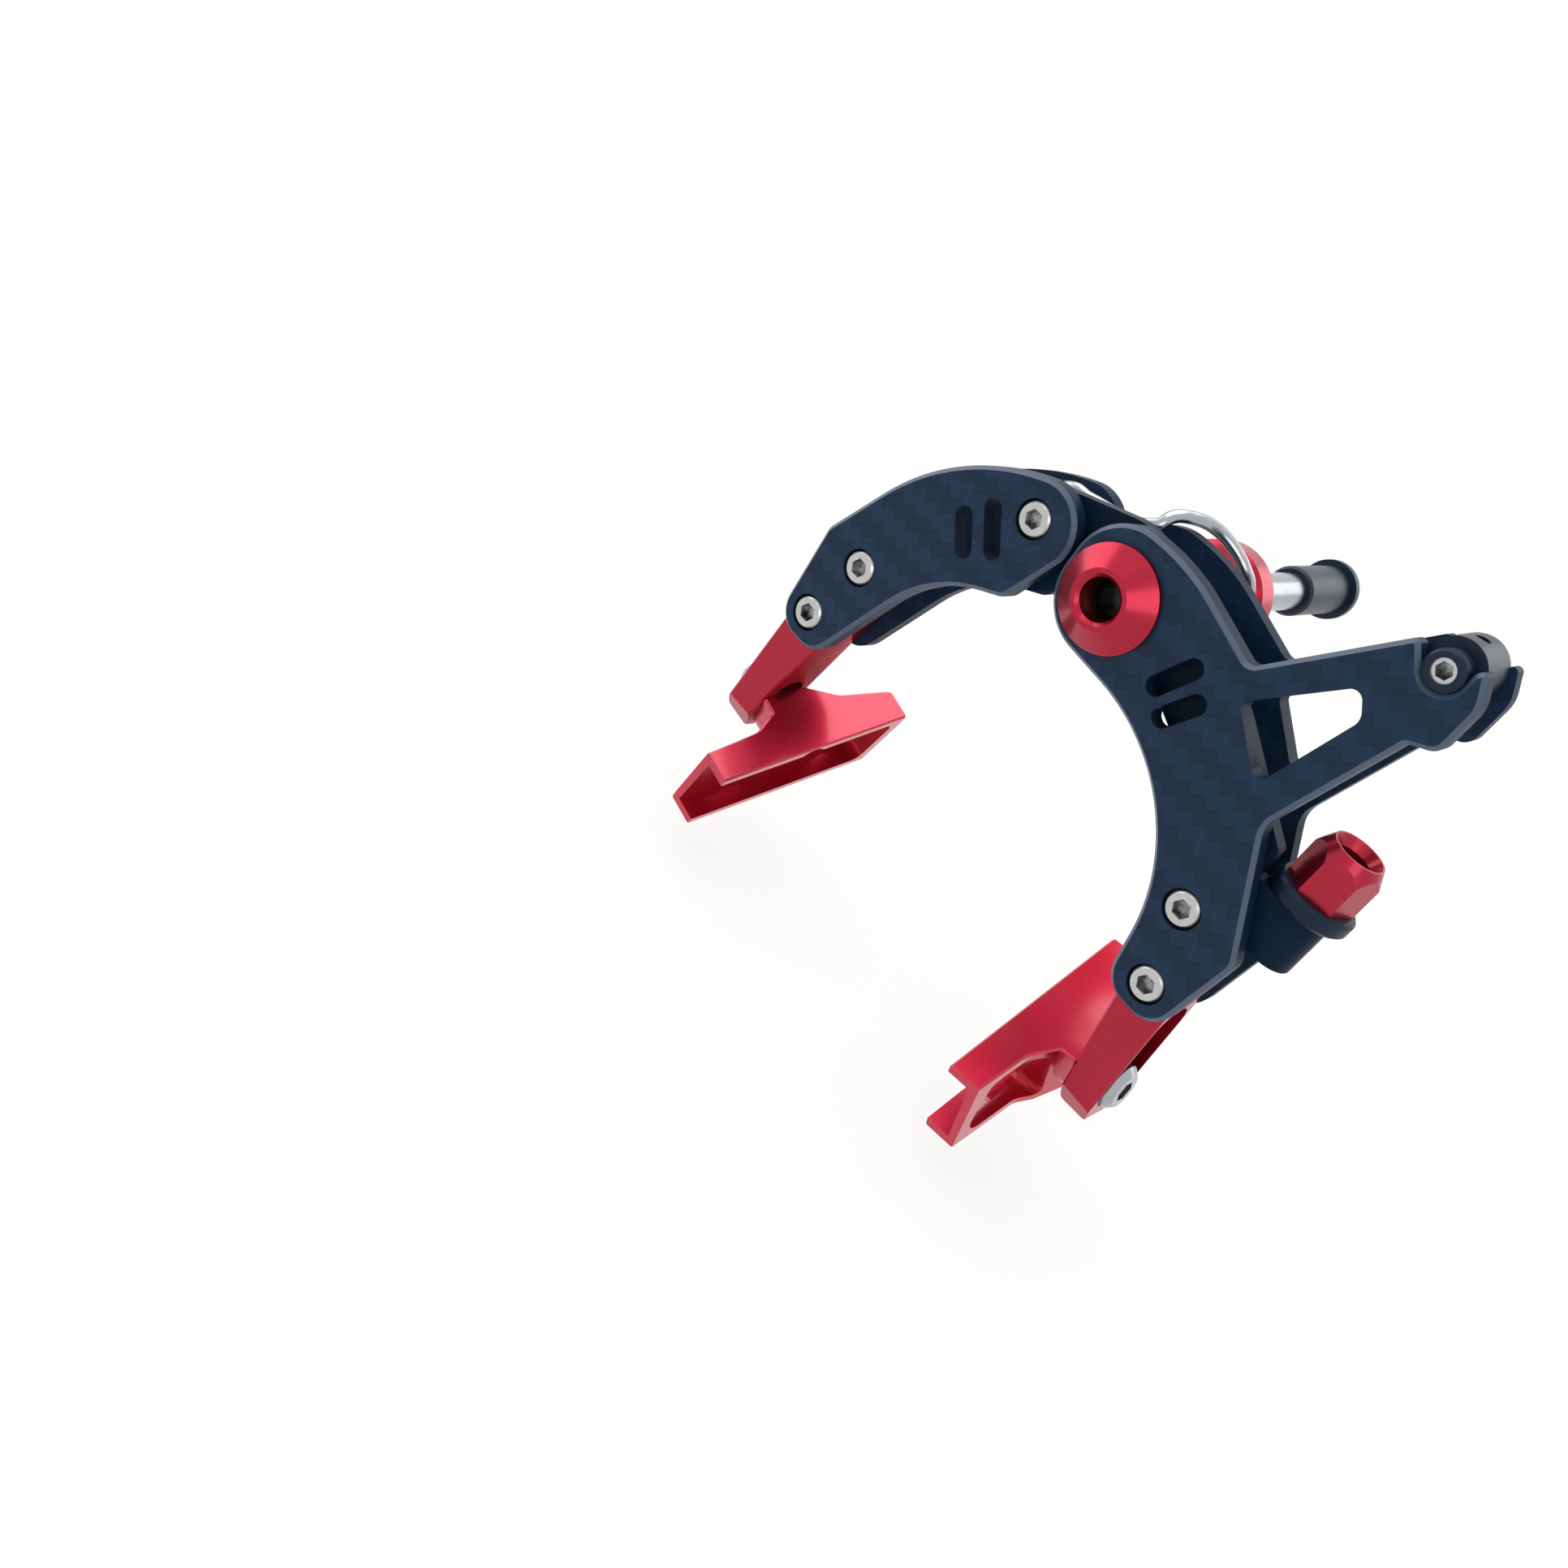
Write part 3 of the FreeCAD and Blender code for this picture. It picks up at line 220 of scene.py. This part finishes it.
# Return spring: one bright steel wire. Its tang sits in the main arm's rear plate, it coils twice
# round the spool, and its long end sweeps over the arms and hooks round the side arm's link sleeve.
WIRE_RADIUS = 0.95 * MM
COIL_RADIUS = 7.4 * MM
COIL_PITCH = 2.6 * MM
COIL_START = 15.0
COIL_TURNS = 2
COIL_STEPS = 12
FULL_TURN = 360.0
REAR_PLATE_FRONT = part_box("main_rear_plate")[0].y
REAR_PLATE_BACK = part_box("main_rear_plate")[1].y
TANG_ANGLE = -12.0
ARM_SWEEP = (
    (32.0, 1.2, 0.0), (48.0, 2.1, 0.2), (62.0, 2.5, 1.2), (80.0, 2.9, 2.1),
    (97.0, 3.75, 4.2), (108.0, 4.2, 8.1), (114.0, 3.85, 11.2), (121.0, 2.5, 12.8),
)
HOOK_SWEEP = (80.0, 120.0, 160.0, 200.0, 240.0)
HOOK_PLAY = 0.35 * MM
COIL_GAP = 0.9 * MM
COIL_RUNOUT = 0.4 * MM
TANG_SHORT = 0.5 * MM
TANG_BEND = 0.9 * MM
TANG_EXIT = 0.2 * MM
TANG_LEAN = 1.0
WIRE_SIDES = 20
WIRE_STEPS = 10
SCRATCHES = 3400.0
sleeve_low, sleeve_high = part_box("link_sleeve")
hook_centre = (sleeve_low + sleeve_high) / 2
hook_radius = (sleeve_high.x - sleeve_low.x) / 2 + WIRE_RADIUS + HOOK_PLAY
coil_front = REAR_PLATE_BACK + WIRE_RADIUS + COIL_GAP


def round_axis(angle, radius, along, centre=Vector((0, 0, 0))):
    turn = math.radians(angle)
    return Vector((centre.x + radius * math.cos(turn), along, centre.z + radius * math.sin(turn)))


def coil_point(step):
    share = step / (COIL_TURNS * COIL_STEPS)
    angle = COIL_START + share * COIL_TURNS * FULL_TURN
    return round_axis(angle, COIL_RADIUS, coil_front + share * COIL_TURNS * COIL_PITCH)


tang_line = [
    round_axis(TANG_ANGLE, COIL_RADIUS, REAR_PLATE_FRONT + TANG_SHORT),
    round_axis(TANG_ANGLE, COIL_RADIUS, REAR_PLATE_BACK - TANG_BEND),
    round_axis(TANG_ANGLE + TANG_LEAN, COIL_RADIUS, REAR_PLATE_BACK + TANG_EXIT),
    coil_point(0),
    coil_point(1),
]
coil_back = coil_front + COIL_TURNS * COIL_PITCH + COIL_RUNOUT
spring_line = [coil_point(step) for step in range(COIL_TURNS * COIL_STEPS + 1)]
for angle, spread, forward in ARM_SWEEP:
    spring_line.append(round_axis(angle, COIL_RADIUS + spread * MM, coil_back - forward * MM))
for angle in HOOK_SWEEP:
    spring_line.append(round_axis(angle, hook_radius, hook_centre.y, hook_centre))


def bright_steel(name):
    """Drawn or rolled steel with fine scratches in all directions."""
    material, shader, shade = new_finish(name, Metallic=1.0)
    vector, axes = place(shade)
    cloud = noise(shade, vector, 420.0)
    scratch = noise(shade, vector, SCRATCHES, 4.0)
    feed(shader,
         Base_Color=(cloud * 0.8 - 0.1).mix(STEEL, STEEL_DULL),
         Roughness=0.16 + cloud * 0.08 + scratch * 0.06,
         Normal=bump(shade, scratch, 0.0012 * MM))
    return material


def wire_tree(material):
    """Geometry Nodes: a round wire of a given radius swept along the curve it is put on."""
    tree = bpy.data.node_groups.new("spring_wire", "GeometryNodeTree")
    tree.interface.new_socket("Geometry", in_out="INPUT", socket_type="NodeSocketGeometry")
    radius = tree.interface.new_socket("Wire radius", in_out="INPUT", socket_type="NodeSocketFloat")
    tree.interface.new_socket("Geometry", in_out="OUTPUT", socket_type="NodeSocketGeometry")
    start = tree.nodes.new("NodeGroupInput")
    ring = tree.nodes.new("GeometryNodeCurvePrimitiveCircle")
    ring.inputs["Resolution"].default_value = WIRE_SIDES
    sweep = tree.nodes.new("GeometryNodeCurveToMesh")
    sweep.inputs["Fill Caps"].default_value = True
    smooth = tree.nodes.new("GeometryNodeSetShadeSmooth")
    real = tree.nodes.new("GeometryNodeRealizeInstances")
    paint = tree.nodes.new("GeometryNodeSetMaterial")
    paint.inputs["Material"].default_value = material
    end = tree.nodes.new("NodeGroupOutput")
    tree.links.new(start.outputs["Wire radius"], ring.inputs["Radius"])
    tree.links.new(start.outputs["Geometry"], sweep.inputs["Curve"])
    tree.links.new(ring.outputs["Curve"], sweep.inputs["Profile Curve"])
    tree.links.new(sweep.outputs["Mesh"], smooth.inputs["Geometry"])
    tree.links.new(smooth.outputs["Geometry"], real.inputs["Geometry"])
    tree.links.new(real.outputs["Geometry"], paint.inputs["Geometry"])
    tree.links.new(paint.outputs["Geometry"], end.inputs["Geometry"])
    return tree, radius.identifier


def spring_wire(name, points, tree, radius_input):
    """The wire along its points, as a plain mesh."""
    line = bpy.data.curves.new(name + "_line", "CURVE")
    line.dimensions = "3D"
    line.resolution_u = WIRE_STEPS
    spline = line.splines.new("BEZIER")
    spline.bezier_points.add(len(points) - 1)
    for knot, point in zip(spline.bezier_points, points):
        knot.co = point
        knot.handle_left_type = "AUTO"
        knot.handle_right_type = "AUTO"
    guide = bpy.data.objects.new(name + "_guide", line)
    bpy.context.scene.collection.objects.link(guide)
    sweep = guide.modifiers.new("wire", "NODES")
    sweep.node_group = tree
    sweep[radius_input] = WIRE_RADIUS
    evaluated = guide.evaluated_get(bpy.context.evaluated_depsgraph_get())
    wire = bpy.data.objects.new(name, bpy.data.meshes.new_from_object(evaluated))
    bpy.context.scene.collection.objects.link(wire)
    bpy.data.objects.remove(guide)
    return wire


spring_tree, spring_radius = wire_tree(bright_steel("spring_steel"))
spring_coil = spring_wire("spring_coil", spring_line, spring_tree, spring_radius)
spring_tang = spring_wire("spring_tang", tang_line, spring_tree, spring_radius)
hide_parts("return_spring")
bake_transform(spring_coil)
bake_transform(spring_tang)


# Pivot bush, thrust washers and spacer: turned rings on the stud that the arms swing on.
# They are bronze and bright steel, and little of them shows between the plates.
BRONZE = (0.42, 0.26, 0.10, 1)
BRONZE_DULL = (0.26, 0.15, 0.06, 1)
bronze, bronze_shader, bronze_shade = new_finish("bush_bronze", Metallic=1.0)
bronze_vector, bronze_axes = place(bronze_shade)
bronze_cloud = noise(bronze_shade, bronze_vector, 220.0)
feed(bronze_shader,
     Base_Color=bronze_cloud.mix(BRONZE, BRONZE_DULL),
     Roughness=0.28 + bronze_cloud * 0.2)
dress(bronze, "pivot_bush")
WASHER_RINGS = 0.12 * MM
washer_steel = turned_steel("washer_steel", WASHER_RINGS, cad_box[0][1])
dress(washer_steel, "thrust_washers", "pivot_spacer", "link_shim", "link_sleeve")


# Arm plates: four plates cut from matte woven carbon sheet. Two make the main arm with its cable
# tower, two the shorter side arm. The tows show as a twill of faint blocks, their light and dark
# partly painted sheen and shade; the cut rims are smooth, their bevels painted pale as a highlight.
TOW = 2.0 * MM
FIBRE = 0.11 * MM
PLY = 0.24 * MM
TOW_DARK = (0.0024, 0.0145, 0.0385, 1)
TOW_PALE = (0.0064, 0.0265, 0.0650, 1)
# Painted highlight: the pale blue-grey given to the bevels, for the light they catch.
BEVEL_SHEEN = (0.0640, 0.0950, 0.1540, 1)
BEVEL_SHEEN_DARK = (0.0440, 0.0680, 0.1150, 1)
EDGE = (0.0120, 0.0240, 0.0500, 1)
EDGE_DARK = (0.0060, 0.0150, 0.0340, 1)
WEAVE_LEAN = math.radians(45.0)
RIM_FACING = 0.85
WALL_FACING = 0.3


def woven_carbon(name):
    """Twill of tows on the faces with painted sheen, smooth sealed bevels with a painted highlight, and
    plies on the cut walls.
    """
    material, shader, shade = new_finish(name, Specular_IOR_Level=0.06, Coat_Roughness=0.42)
    vector, (x, y, z) = place(shade)
    warp = (x * math.cos(WEAVE_LEAN) + z * math.sin(WEAVE_LEAN)) * (1 / TOW)
    weft = (z * math.cos(WEAVE_LEAN) - x * math.sin(WEAVE_LEAN)) * (1 / TOW)
    cell = shade.maths("FLOOR", warp) + shade.maths("FLOOR", weft)
    over = shade.maths("LESS_THAN", shade.maths("FLOORED_MODULO", cell, 4.0), 1.5)
    across_warp = shade.maths("FRACT", warp) - 0.5
    across_weft = shade.maths("FRACT", weft) - 0.5
    across = over * across_warp + (1 - over) * across_weft
    crown = 1 - across * across * 4
    along = shade.node("ShaderNodeCombineXYZ", {}, {0: warp * (TOW / FIBRE), 1: weft * 0.9, 2: 0.0})
    level = shade.node("ShaderNodeCombineXYZ", {}, {0: warp * 0.9, 1: weft * (TOW / FIBRE), 2: 7.0})
    fibres = over * noise(shade, along, 1.0) + (1 - over) * noise(shade, level, 1.0)
    cloud = noise(shade, vector, 140.0)
    # Painted sheen and shade: warp tows are painted lighter than weft tows, and each tow darker at its sides
    # than at its crown; the fibre streaks and the cloud are the sheet's own tone.
    tone = over * 0.55 + crown * 0.22 + fibres * 0.22 + cloud * 0.2 - 0.14
    normal = shade.node("ShaderNodeTexCoord", {}, {}, "Normal")
    facing = shade.maths("ABSOLUTE", shade.node("ShaderNodeSeparateXYZ", {}, {0: normal}, 1))
    rim = shade.maths("LESS_THAN", facing, RIM_FACING)
    wall = shade.maths("LESS_THAN", facing, WALL_FACING)
    plies = waves(shade, y, PLY) * 0.5 + 0.5
    face_colour = tone.mix(TOW_DARK, TOW_PALE)
    # Bevels: real ply lines and a soft cloud over a pale blue-grey that is a painted highlight.
    bevel_sheen_colour = (plies * 0.35 + cloud * 0.6).mix(BEVEL_SHEEN, BEVEL_SHEEN_DARK)
    wall_colour = (plies * 0.5 + cloud * 0.5).mix(EDGE, EDGE_DARK)
    feed(shader,
         Base_Color=rim.mix(face_colour, wall.mix(bevel_sheen_colour, wall_colour)),
         Roughness=0.46 - rim * 0.10 + (1 - rim) * (fibres * 0.10 - over * 0.06) + cloud * 0.06,
         Coat_Weight=0.30 * (1 - rim) + 0.75 * (rim - wall),
         Normal=bump(shade, (1 - rim) * (crown * 0.7 + fibres * 0.3) + rim * plies * 0.25, 0.012 * MM))
    return material


carbon = woven_carbon("woven_carbon")
dress(carbon, "main_front_plate", "main_rear_plate", "side_front_plate", "side_rear_plate")


# Inner link: a black anodised aluminium lever clamped in the side arm. It passes over the stud
# between the main arm's plates and ends in the round lug that carries the cable adjuster.
dress(black_anodised("link_black", sheen=0.06), "inner_link")


# Pad brackets: red anodised aluminium bars, machined flat and held between the plates by
# socket screws from both sides. Their lower ends carry the shoes.
red_machined = red_anodised("red_machined", satin=0.26, film=0.35, dye=RED)
dress(red_machined, "main_bracket", "side_bracket")


# Screws, link bolt and nut: small bright steel fixings with hexagon sockets, sunk in the plates.
# The link bolt goes right through the side arm to a nut at the rear.
SCREW = (0.56, 0.565, 0.565, 1)
SCREW_DULL = (0.44, 0.445, 0.45, 1)
# Painted shade: the near-black painted inside the key sockets.
SOCKET_PAINTED_SHADE = (0.055, 0.056, 0.060, 1)
SOCKET_LIP = 0.35 * MM


def socket_steel(node):
    """Bright steel for screws that lie along Y, with their key sockets painted dark as painted shade."""
    material, shader, shade = new_finish(node + "_steel", Metallic=1.0)
    vector, (x, y, z) = place(shade)
    low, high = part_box(node)
    # Painted shade: more than the lip in from either end the steel is painted dark, for the shade inside the
    # key socket.
    reach = shade.maths("ABSOLUTE", y - (low.y + high.y) / 2)
    socket = shade.maths("LESS_THAN", reach, (high.y - low.y) / 2 - SOCKET_LIP)
    cloud = noise(shade, vector, 900.0, 3.0)
    scratch = noise(shade, vector, SCRATCHES, 4.0)
    head_colour = (cloud * 1.4 - 0.2).mix(SCREW, SCREW_DULL)
    socket_shade_colour = (cloud * 2.4 - 0.8).mix(SOCKET_PAINTED_SHADE, SCREW_DULL)
    feed(shader,
         Base_Color=socket.mix(head_colour, socket_shade_colour),
         Roughness=0.20 + cloud * 0.16 + scratch * 0.08,
         Normal=bump(shade, scratch, 0.004 * MM))
    return material


for node in ("main_screws", "side_screws", "link_bolt"):
    dress(socket_steel(node), node)
dress(bright_steel("nut_steel"), "link_nut")


# Pad shoes with their bolts and washers: red anodised channels, open at the front end, each
# pulled against its bracket by a round-headed steel bolt so that it can be turned to suit the rim.
# Painted highlight: the shoes' red is a brighter, lit copy of the brackets' red, for the light on the shoes.
RED_LIT = ((0.47, 0.0100, 0.035, 1), (0.55, 0.0125, 0.043, 1))
dress(red_anodised("red_shoe", satin=0.24, film=1.0, dye=RED_LIT), "main_shoe", "side_shoe")
dress(bright_steel("bolt_steel"), "main_shoe_bolt", "side_shoe_bolt", "main_shoe_washer", "side_shoe_washer")


# Cable anchor: a black anodised barrel that lies in the open notches of the tower and turns as
# the cable pulls. A small steel screw in its front end pinches the cable in the cross hole.
dress(black_anodised("anchor_black", sheen=0.24), "cable_anchor")
dress(socket_steel("anchor_screw"), "anchor_screw")


# Cable adjuster and lock ring: a red hexagon barrel screwed down through the lug, with a black
# ring under it that holds the setting.
dress(red_anodised("red_adjuster", satin=0.32, film=0.35, dye=RED), "adjuster_barrel")
dress(black_anodised("ring_black", sheen=0.2), "lock_ring")


# Cap nut: a red anodised aluminium cone, turned with fine rings like the spool. It sits on the
# stud's front end and closes the stack, with a round hole in it that leads to the stud's key socket.
dress(red_turned, "cap_nut")


# Floor: a plain pale sheet under the brake. It keeps a soft shadow close by and fades into the
# white background further out.
PAPER = (0.985, 0.985, 0.970, 1)
FLOOR_SIZE = 1.6
SQUARE = ((-1, -1), (1, -1), (1, 1), (-1, 1))
FLOOR_GAP = 4 * MM
FADE_NEAR = 0.10
FADE_FAR = 0.34
SHADOW_SHARE = 0.16
floor_z = cad_box[0][2] - FLOOR_GAP
floor_mesh = bpy.data.meshes.new("floor")
corners = [(side * FLOOR_SIZE, depth * FLOOR_SIZE, floor_z) for side, depth in SQUARE]
floor_mesh.from_pydata(corners, [], [(0, 1, 2, 3)])
floor = bpy.data.objects.new("floor", floor_mesh)
bpy.context.scene.collection.objects.link(floor)


def seen_ray(shade):
    """One for a ray that shows the background: straight from the camera, mirrored or through glass."""
    kinds = [shade.node("ShaderNodeLightPath", {}, {}, kind)
             for kind in ("Is Camera Ray", "Is Glossy Ray", "Is Transmission Ray")]
    return shade.maths("MAXIMUM", shade.maths("MAXIMUM", kinds[0], kinds[1]), kinds[2])


paper, paper_shader, paper_shade = new_finish(
    "floor_paper", Roughness=0.9, Base_Color=PAPER, Specular_IOR_Level=0.0)
paper_vector, (floor_x, floor_y, floor_up) = place(paper_shade)
reach = paper_shade.maths("POWER", floor_x * floor_x + floor_y * floor_y, 0.5)
fade = paper_shade.node(
    "ShaderNodeMapRange", {"interpolation_type": "SMOOTHSTEP"},
    {"Value": reach, "From Min": FADE_NEAR, "From Max": FADE_FAR, "To Min": 1 - SHADOW_SHARE, "To Max": 1.0})
glow = paper_shade.node("ShaderNodeEmission", {}, {"Color": PAPER, "Strength": 1.0})
lit = Shade(paper_shade.tree, paper_shader.outputs["BSDF"])
shown = paper_shade.node("ShaderNodeMixShader", {}, {0: seen_ray(paper_shade) * fade, 1: lit, 2: glow})
paper_shade.tree.links.new(shown.socket, paper_shade.tree.nodes["Material Output"].inputs["Surface"])
floor_mesh.materials.append(paper)


# Studio light: a white surround that shows to the camera and in reflections, a dimmer one that
# lights the brake, a broad lamp above and three weaker ones at the left, the front right and the rear.
world = bpy.data.worlds.new("studio")
bpy.context.scene.world = world
world.use_nodes = True
sky = Shade(world.node_tree)
SURROUND = 0.6
seen = seen_ray(sky)
backdrop = world.node_tree.nodes["Background"]
backdrop.inputs["Color"].default_value = PAPER
world.node_tree.links.new((seen + (1 - seen) * SURROUND).socket, backdrop.inputs["Strength"])


def soft_lamp(name, watts, size, spot, target):
    light = bpy.data.lights.new(name, "AREA")
    light.energy = watts
    light.size = size
    lamp = bpy.data.objects.new(name, light)
    lamp.location = spot
    lamp.rotation_euler = (Vector(target) - Vector(spot)).to_track_quat("-Z", "Y").to_euler()
    bpy.context.scene.collection.objects.link(lamp)


MIDDLE = (0.0, -0.025, -0.02)
LAMPS = (
    ("overhead", 2.1, 0.60, (-0.165, 0.09, 0.45)),
    ("left", 0.65, 0.34, (-0.47, -0.12, 0.12)),
    ("front_right", 0.50, 0.30, (0.33, -0.40, 0.24)),
    ("rear", 0.45, 0.34, (0.14, 0.46, 0.24)),
)
for name, watts, size, spot in LAMPS:
    soft_lamp(name, watts, size, spot, MIDDLE)


# Camera: in front of the brake, to its right and above it, leaning over to the left.
# The lens is as long as the sensor is wide, so the view opens about 53 degrees.
LENS = 36.0
SENSOR = 36.0
CAMERA_SPOT = (74.2 * MM, -221.65 * MM, 68.9 * MM)
CAMERA_TURN = (53.717, -29.116, 47.422)
eye = bpy.data.cameras.new("camera")
eye.lens = LENS
eye.sensor_width = SENSOR
eye.clip_start = 0.01
camera = bpy.data.objects.new("camera", eye)
camera.location = CAMERA_SPOT
camera.rotation_euler = [math.radians(turn) for turn in CAMERA_TURN]
bpy.context.scene.collection.objects.link(camera)
bpy.context.scene.camera = camera
bpy.context.scene.view_settings.view_transform = "Standard"
